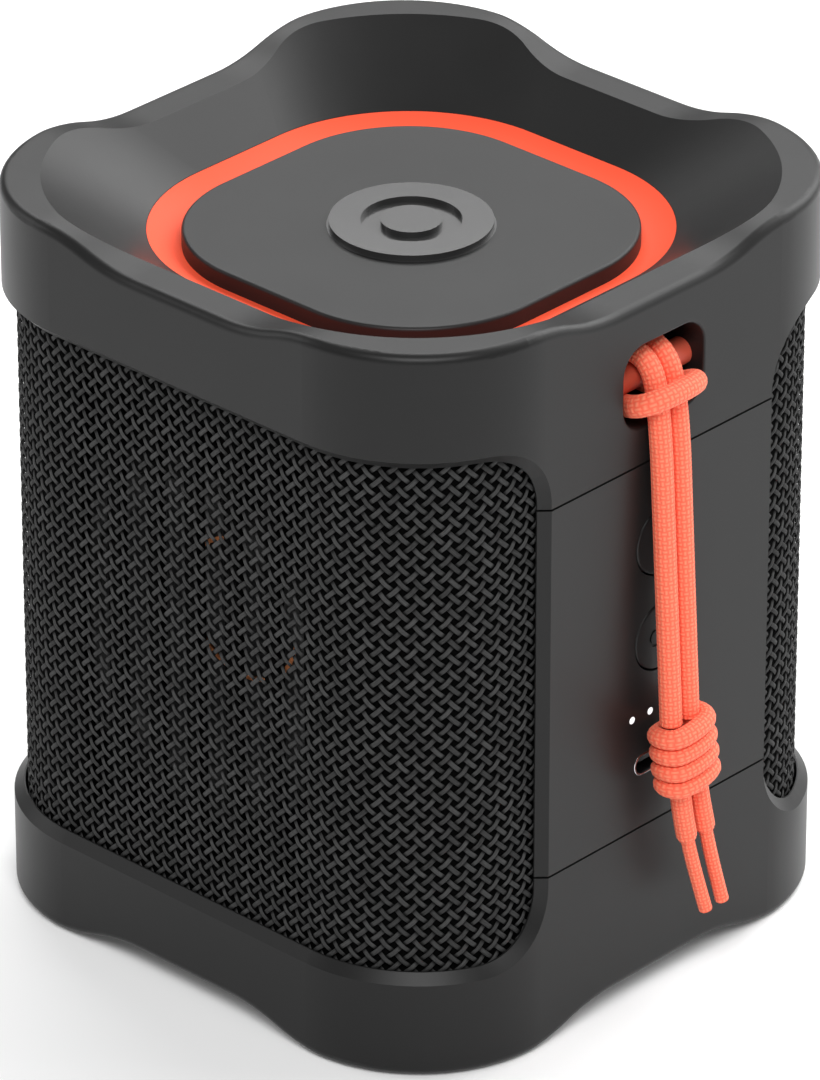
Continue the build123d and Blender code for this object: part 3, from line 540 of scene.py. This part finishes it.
def make_cord_finish(name, cells):
    made = bpy.data.materials.new(name)
    made.use_nodes = True
    tree = made.node_tree
    shader = tree.nodes["Principled BSDF"]
    stored = add(tree, "ShaderNodeAttribute", attribute_name="braid_place",
                 attribute_type="GEOMETRY")
    parts = add(tree, "ShaderNodeSeparateXYZ", stored.outputs["Vector"])
    turn = maths(tree, "ARCTAN2", parts.outputs["Y"], parts.outputs["X"])
    around = maths(tree, "MULTIPLY", turn, cells / (2 * math.pi))
    around = maths(tree, "ADD", around, float(cells))
    along = parts.outputs["Z"]
    height, odd = cell_pattern(tree, around, along)

    # The fibres run along the cord in even cells and round it in odd ones.
    flat_place = add(tree, "ShaderNodeCombineXYZ", around, along, odd).outputs[0]
    turned_place = add(tree, "ShaderNodeCombineXYZ", along, around, odd).outputs[0]
    swap = add(tree, "ShaderNodeMix", data_type="VECTOR", at={
        0: odd, 4: turned_place, 5: flat_place}).outputs[1]
    fibres = add(tree, "ShaderNodeGroup", node_tree=fibre_group, at={
        "Place": swap, "Along": 0.8, "Across": 9.0})
    total = maths(
        tree, "ADD", height, maths(tree, "MULTIPLY", fibres.outputs["Fibres"], FIBRE_SHARE))
    shade = maths(tree, "MULTIPLY", total, SHADE_STRENGTH)
    # The grooves take the darker coral as painted shade, and the fibres vary the tone along each
    # float.
    tree.links.new(tint(tree, shade, CORAL_GROOVE_SHADE, CORAL), shader.inputs["Base Color"])
    bump = add(tree, "ShaderNodeBump", at={
        "Strength": 1.0, "Distance": 0.06 * MM, "Height": total})
    tree.links.new(bump.outputs[0], shader.inputs["Normal"])
    shader.inputs["Roughness"].default_value = 0.72
    shader.inputs["Sheen Weight"].default_value = 0.1
    shader.inputs["Sheen Roughness"].default_value = 0.5
    shader.inputs["Sheen Tint"].default_value = (1.0, 0.62, 0.5, 1)
    return made


cord_finish = make_cord_finish("coral_braid", SHEATH["Cells Around"])
core_finish = make_cord_finish("coral_core", CORE["Cells Around"])
print("cord finishes:", cord_finish.name, core_finish.name)

# %% [markdown]
# ## Wrist cord
#
# Each run of cord is grown from its line. The loop is one cord from the knot round the bar and
# back, the knot is wound from the same cord, and each tail is the cord's thinner core.

# %% Grow the cords
def braided(name, line, radius, finish, weave):
    holder = helper(f"{name}_line", line.copy())
    mesh = grow(holder, braid_tree, {"Radius": radius, "Material": finish, **weave})
    bpy.data.objects.remove(holder)
    return piece(name, mesh)


loop = braided("wrist_cord", loop_line, CORD_R, cord_finish, SHEATH)
knot = braided("cord_knot", knot_line, TURN_R, cord_finish, SHEATH)
tails = {
    side: braided(f"cord_tail_{side}", line, TAIL_R, core_finish, CORE)
    for side, line in tail_lines.items()
}

# %% [markdown]
# The upper part of each tail still wears the sheath. Its lower end is drawn in to the core with
# a soft rounded edge, as a heat-sealed braid is.

# %% Sleeves
SLEEVE_FOOT, SLEEVE_HEAD = 23.9 * MM, 33.5 * MM
EDGE_LENGTH, EDGE_NEAR = 0.9 * MM, 4 * MM
DRAWN_IN, EDGE_POWER = 0.28, 2.5  # how far the very edge comes in, and how suddenly


def sleeve_line(side):
    """The stretch of a tail that still wears its sheath, from inside the knot."""
    run = [v.co.copy() for v in tail_lines[side].vertices if SLEEVE_FOOT < v.co.z < SLEEVE_HEAD]
    line = bpy.data.meshes.new(f"sleeve_line_{side}")
    line.from_pydata(run, [(i, i + 1) for i in range(len(run) - 1)], [])
    return line


def round_off(sleeve, side):
    """Draw the sleeve's lower end in to the core."""
    line = [v.co.copy() for v in tail_lines[side].vertices]
    foot = [place for place in line if place.z > SLEEVE_FOOT][-1]
    for v in sleeve.data.vertices:
        nearest = min(line, key=lambda place: (place - v.co).length)
        reach = (foot.z + EDGE_LENGTH - nearest.z) / EDGE_LENGTH
        if reach > 0 and (v.co - foot).length < EDGE_NEAR:
            v.co = nearest + (v.co - nearest) * (1 - DRAWN_IN * min(1.0, reach) ** EDGE_POWER)


sleeves = {
    side: braided(f"cord_sleeve_{side}", sleeve_line(side), SLEEVE_R, cord_finish, SHEATH)
    for side in TAIL_ROUTES
}
for side, sleeve in sleeves.items():
    round_off(sleeve, side)

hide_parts("lanyard_cord")
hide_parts("lanyard_knot")
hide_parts("lanyard_tail_left")
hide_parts("lanyard_tail_right")
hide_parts("lanyard_sleeves")

print("declared cords:", 1 + len(tails))

# %% [markdown]
# ## Grille cloth
#
# The grille is a plain weave of thick polyester threads, set at 45 degrees so that it can be
# stretched round the column's corners. Seen from outside, each crossing shows one short float,
# and the floats of neighbouring crossings stand at right angles. So the cloth is built from one
# float, copied to every crossing.

# %% One float of thread
THREAD_STEP = 1.55 * MM  # from one thread to the next
ROW = THREAD_STEP / math.sqrt(2)  # from one row of crossings to the next, and between columns
FLOAT_LENGTH, FLOAT_WIDTH, FLOAT_THICK = 2.6 * MM, 0.62 * MM, 0.20 * MM
SWING = 0.17 * MM  # how far a thread swings out and in


SECTION = [  # a thread's cut end, in shares of its width and thickness
    (-0.5, 0.0), (-0.4, 0.36), (0.0, 0.5), (0.4, 0.36), (0.5, 0.0), (0.3, -0.4), (-0.3, -0.4),
]
RINGS = 6


def make_float():
    """One thread's arch over its neighbour, along X, with its outer side up."""
    verts, places = [], []
    for i in range(RINGS):
        x = FLOAT_LENGTH * (i / (RINGS - 1) - 0.5)
        lift = SWING * math.cos(math.pi * x / THREAD_STEP)
        slope = -SWING * math.pi / THREAD_STEP * math.sin(math.pi * x / THREAD_STEP)
        lean = math.atan(slope)
        for across, up in SECTION:
            side, rise = across * FLOAT_WIDTH, up * FLOAT_THICK
            verts.append((x - rise * math.sin(lean), side, lift + rise * math.cos(lean)))
            places.append((x / MM, side / MM, 0))
    n = len(SECTION)
    faces = [
        (i * n + (j + 1) % n, (i + 1) * n + (j + 1) % n, (i + 1) * n + j, i * n + j)
        for i in range(RINGS - 1) for j in range(n)
    ]
    faces += [tuple(range(n)), tuple(reversed(range((RINGS - 1) * n, RINGS * n)))]
    mesh = bpy.data.meshes.new("thread_float")
    mesh.from_pydata(verts, [], faces)
    stored = mesh.attributes.new("thread_place", "FLOAT_VECTOR", "POINT")
    for spot, place in zip(stored.data, places):
        spot.vector = place
    return helper("thread_float", mesh)


thread_float = make_float()
print("float:", len(thread_float.data.polygons), "faces")

# %% [markdown]
# The crossings are counted along the column's outline and up its height. A Sample Curve node
# turns the count into a place on the outline, with the direction of the thread there. Even rows
# lean one way and odd rows the other, and a little random wobble keeps the cloth from looking
# machined.

# %% Weave tree
CLOTH_LOW, CLOTH_HIGH = 14.3 * MM, 89.2 * MM
WOBBLE, FIRST_SEED = 0.03, 7


def make_weave_tree():
    inputs = [
        ("Outline", "NodeSocketGeometry", None), ("Float", "NodeSocketObject", None),
        ("Row Height", "NodeSocketFloat", ROW), ("Lowest Row", "NodeSocketFloat", CLOTH_LOW),
        ("Rows", "NodeSocketInt", 60), ("First Column", "NodeSocketInt", 0),
        ("Columns", "NodeSocketInt", 10), ("Wobble", "NodeSocketFloat", WOBBLE),
        ("Seed", "NodeSocketInt", FIRST_SEED), ("Material", "NodeSocketMaterial", None),
    ]
    outputs = [("Cloth", "NodeSocketGeometry")]
    tree, start, end = new_group("diagonal_weave", "GeometryNodeTree", inputs, outputs)
    tree.is_modifier = True
    given = start.outputs

    # The index of a crossing gives its column and its row. Every other crossing is used.
    index = add(tree, "GeometryNodeInputIndex").outputs[0]
    column = maths(tree, "FLOORED_MODULO", index, given["Columns"])
    row = maths(tree, "FLOOR", maths(tree, "DIVIDE", index, given["Columns"]))
    column = maths(tree, "ADD", column, given["First Column"])
    leaning = maths(tree, "FLOORED_MODULO", row, 2.0)
    unused = maths(tree, "FLOORED_MODULO", maths(tree, "ADD", column, row), 2.0)

    # The column is a distance along the outline, and the row a height.
    far = maths(tree, "MULTIPLY", column, given["Row Height"])
    outline = add(tree, "GeometryNodeMeshToCurve", given["Outline"]).outputs[0]
    sample = add(tree, "GeometryNodeSampleCurve", mode="LENGTH", at={
        "Curves": outline, "Length": far})
    rise = maths(tree, "MULTIPLY", row, given["Row Height"])
    high = maths(tree, "ADD", given["Lowest Row"], rise)
    up = add(tree, "ShaderNodeCombineXYZ", 0.0, 0.0, high).outputs[0]
    place = vector_maths(tree, "ADD", sample.outputs["Position"], up)

    # A float points along the outline and up, or down on odd rows, and its back faces inward.
    along = sample.outputs["Tangent"]
    wobble = add(tree, "FunctionNodeRandomValue", data_type="FLOAT_VECTOR", at={
        "Min": (-1, -1, -1), "Max": (1, 1, 1), "Seed": given["Seed"]}).outputs[0]
    wobble = add(tree, "ShaderNodeVectorMath", operation="SCALE", at={
        0: wobble, "Scale": given["Wobble"]}).outputs[0]
    sign = maths(tree, "SUBTRACT", 1.0, maths(tree, "MULTIPLY", leaning, 2.0))
    climb = add(tree, "ShaderNodeCombineXYZ", 0.0, 0.0, sign).outputs[0]
    thread = vector_maths(tree, "ADD", vector_maths(tree, "ADD", along, climb), wobble)
    outward = vector_maths(tree, "CROSS_PRODUCT", (0, 0, 1), along)
    outward = vector_maths(tree, "ADD", outward, wobble)
    turn = add(tree, "FunctionNodeAxesToRotation", outward, thread,
               primary_axis="Z", secondary_axis="X").outputs[0]

    # One copy of the float goes to each used crossing, with its own shade.
    count = maths(tree, "MULTIPLY", given["Columns"], given["Rows"])
    points = add(tree, "GeometryNodePoints", at={"Count": count, "Position": place})
    shape = add(tree, "GeometryNodeObjectInfo", given["Float"], transform_space="ORIGINAL")
    copies = add(tree, "GeometryNodeInstanceOnPoints", at={
        "Points": points.outputs[0], "Selection": maths(tree, "SUBTRACT", 1.0, unused),
        "Instance": shape.outputs["Geometry"], "Rotation": turn})
    shade = add(tree, "FunctionNodeRandomValue", data_type="FLOAT", at={"Seed": given["Seed"]})
    marked = add(tree, "GeometryNodeStoreNamedAttribute", data_type="FLOAT", domain="INSTANCE",
                 at={"Geometry": copies.outputs[0], "Name": "thread_shade",
                     "Value": shade.outputs[1]})
    real = add(tree, "GeometryNodeRealizeInstances", marked.outputs[0])
    smooth = add(tree, "GeometryNodeSetShadeSmooth", at={"Geometry": real.outputs[0]})
    dressed = add(tree, "GeometryNodeSetMaterial", at={
        "Geometry": smooth.outputs[0], "Material": given["Material"]})
    tree.links.new(dressed.outputs[0], end.inputs[0])
    return tree


weave_tree = make_weave_tree()
print("weave tree:", len(weave_tree.nodes), "nodes")

# %% [markdown]
# The outline runs from one edge of the control strip round the three other sides to its other
# edge. It is a rounded square, at the middle of the cloth's thickness.

# %% Outline of the cloth
CLOTH_HALF, ARC_CENTRE, STRIP_EDGE = 41.66 * MM, 22.35 * MM, 20.6 * MM
ARC_STEP = 3  # degrees


def outline_points():
    reach = CLOTH_HALF - ARC_CENTRE
    points = [(CLOTH_HALF, -STRIP_EDGE, 0)]
    for corner, (across, deep) in enumerate([(1, -1), (-1, -1), (-1, 1), (1, 1)]):
        for i in range(90 // ARC_STEP + 1):
            angle = math.radians(-90 * corner - ARC_STEP * i)
            points.append((across * ARC_CENTRE + reach * math.cos(angle),
                           deep * ARC_CENTRE + reach * math.sin(angle), 0))
    points.append((CLOTH_HALF, STRIP_EDGE, 0))
    return points


spots = outline_points()
outline_mesh = bpy.data.meshes.new("cloth_outline")
outline_mesh.from_pydata(spots, [(i, i + 1) for i in range(len(spots) - 1)], [])
around_column = line_length(outline_mesh)
print("cloth runs", round(around_column / MM, 1), "mm round the column")

# %% [markdown]
# Grille thread is dull and fibrous. Each float gets its own slight tone from the number that
# the tree stored, and fibres run along it. Its colour goes dark towards its ends: painted shade
# where they dip under the next thread.

# %% Thread finish
THREAD_DARK, THREAD_PALE = grey(0.002), grey(0.082)
# Between these distances from a float's middle its colour fades to dark, as painted shade where it
# dips under the next thread.
PAINTED_SHADE_FROM, PAINTED_SHADE_TO = 0.62, 1.18  # millimetres from the middle of a float


def make_thread_finish():
    made = bpy.data.materials.new("grille_thread")
    made.use_nodes = True
    tree = made.node_tree
    shader = tree.nodes["Principled BSDF"]
    stored = add(tree, "ShaderNodeAttribute", attribute_name="thread_place",
                 attribute_type="GEOMETRY").outputs["Vector"]
    shade = add(tree, "ShaderNodeAttribute", attribute_name="thread_shade",
                attribute_type="GEOMETRY").outputs["Fac"]
    offset = add(tree, "ShaderNodeCombineXYZ", 0.0, 0.0, maths(tree, "MULTIPLY", shade, 40.0))
    moved = vector_maths(tree, "ADD", stored, offset.outputs[0])
    fibres = add(tree, "ShaderNodeGroup", node_tree=fibre_group, at={
        "Place": moved, "Along": 1.2, "Across": 9.0}).outputs["Fibres"]
    tone = maths(tree, "ADD",
                 maths(tree, "MULTIPLY", fibres, 0.75), maths(tree, "MULTIPLY", shade, 0.25))
    parts = add(tree, "ShaderNodeSeparateXYZ", stored)
    from_middle = maths(tree, "ABSOLUTE", parts.outputs["X"])
    # Painted shade: the tone falls to dark towards the float's ends, where they dip under the next
    # thread.
    free_of_painted_shade = add(tree, "ShaderNodeMapRange", interpolation_type="SMOOTHSTEP", at={
        "Value": from_middle, "From Min": PAINTED_SHADE_FROM, "From Max": PAINTED_SHADE_TO,
        "To Min": 1.0, "To Max": 0.0}).outputs[0]
    tone = maths(tree, "MULTIPLY", tone, free_of_painted_shade)
    tree.links.new(tint(tree, tone, THREAD_DARK, THREAD_PALE), shader.inputs["Base Color"])
    bump = add(tree, "ShaderNodeBump", at={
        "Strength": 1.0, "Distance": 0.04 * MM, "Height": fibres})
    tree.links.new(bump.outputs[0], shader.inputs["Normal"])
    shader.inputs["Roughness"].default_value = 0.7
    shader.inputs["Specular IOR Level"].default_value = 0.1
    return made


thread_finish = make_thread_finish()
print("thread finish:", thread_finish.name)

# %% [markdown]
# The cloth is made in five upright sections, so that no single mesh grows too heavy. A section
# is a range of columns of the same weave.

# %% Cloth
SECTIONS = 5
columns = int(around_column / ROW) + 1
rows = int((CLOTH_HIGH - CLOTH_LOW) / ROW) + 1
for section in range(SECTIONS):
    first = columns * section // SECTIONS
    last = columns * (section + 1) // SECTIONS
    holder = helper("outline_holder", outline_mesh.copy())
    mesh = grow(holder, weave_tree, {
        "Float": thread_float, "Row Height": ROW, "Lowest Row": CLOTH_LOW, "Rows": rows,
        "First Column": first, "Columns": last - first, "Wobble": WOBBLE,
        "Seed": FIRST_SEED + section, "Material": thread_finish})
    bpy.data.objects.remove(holder)
    piece(f"grille_cloth_{section + 1}", mesh)
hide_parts("grille_weave")

bpy.data.objects.remove(thread_float)
for line in (loop_line, knot_line, outline_mesh, *tail_lines.values()):
    bpy.data.meshes.remove(line)

# %% [markdown]
# ## Studio
#
# The speaker stands on a pale matt floor that nearly melts into the white behind it.

# %% Floor
FLOOR_REACH = 3.0


def make_floor():
    corners = [(-1, -1), (1, -1), (1, 1), (-1, 1)]
    mesh = bpy.data.meshes.new("studio_floor")
    mesh.from_pydata([(x * FLOOR_REACH, y * FLOOR_REACH, 0) for x, y in corners], [],
                     [(0, 1, 2, 3)])
    paint = bpy.data.materials.new("pale_floor")
    paint.use_nodes = True
    shader = paint.node_tree.nodes["Principled BSDF"]
    shader.inputs["Base Color"].default_value = (0.92, 0.92, 0.92, 1)
    shader.inputs["Roughness"].default_value = 1.0
    shader.inputs["Specular IOR Level"].default_value = 0.0
    shader.inputs["Emission Color"].default_value = (1, 1, 1, 1)
    shader.inputs["Emission Strength"].default_value = 0.05
    mesh.materials.append(paint)
    helper("studio_floor", mesh)


make_floor()
print("floor:", 2 * FLOOR_REACH, "m square")

# %% [markdown]
# Six soft lights stand round it. One high softbox in front of the grille and one opposite, behind
# the speaker, light the two sides of the dish. Two more beyond the strip's far edge, one low and
# one high, draw the bright lines along the rim and the strip. A weak card on each side keeps the
# shaded faces from going black, and an even white sky fills what is left.

# %% Lights and sky
def around_speaker(turn, rise, reach):
    """A place round the speaker: turn from its strip towards its back, rise above the floor."""
    turn, rise = math.radians(turn), math.radians(rise)
    return (reach * math.cos(turn) * math.cos(rise), reach * math.sin(turn) * math.cos(rise),
            reach * math.sin(rise))


def soft_light(name, place, width, height, watts, target=(0, 0, 50 * MM)):
    data = bpy.data.lights.new(name, "AREA")
    data.shape, data.size, data.size_y, data.energy = "RECTANGLE", width, height, watts
    lamp = helper(name, data)
    lamp.location = place
    lamp.rotation_mode = "QUATERNION"
    lamp.rotation_quaternion = (Vector(target) - Vector(place)).to_track_quat("-Z", "Y")


soft_light("front_softbox", around_speaker(-47, 50, 1.6), 0.9, 0.6, 17)
soft_light("back_softbox", around_speaker(133, 42, 1.6), 1.4, 0.6, 14)
soft_light("right_back_low", around_speaker(90, 25, 1.6), 0.9, 0.7, 8.5)
soft_light("right_back_high", around_speaker(80, 48, 1.6), 0.9, 0.6, 11)
soft_light("left_card", around_speaker(-150, 25, 1.4), 0.7, 0.8, 4)
soft_light("right_card", around_speaker(50, 25, 1.4), 0.7, 0.8, 4.5)

sky = bpy.data.worlds.new("studio_sky")
sky.use_nodes = True
sky.node_tree.nodes["Background"].inputs["Color"].default_value = (1, 1, 1, 1)
sky.node_tree.nodes["Background"].inputs["Strength"].default_value = 0.22
bpy.context.scene.world = sky
bpy.context.scene.view_settings.view_transform = "Standard"
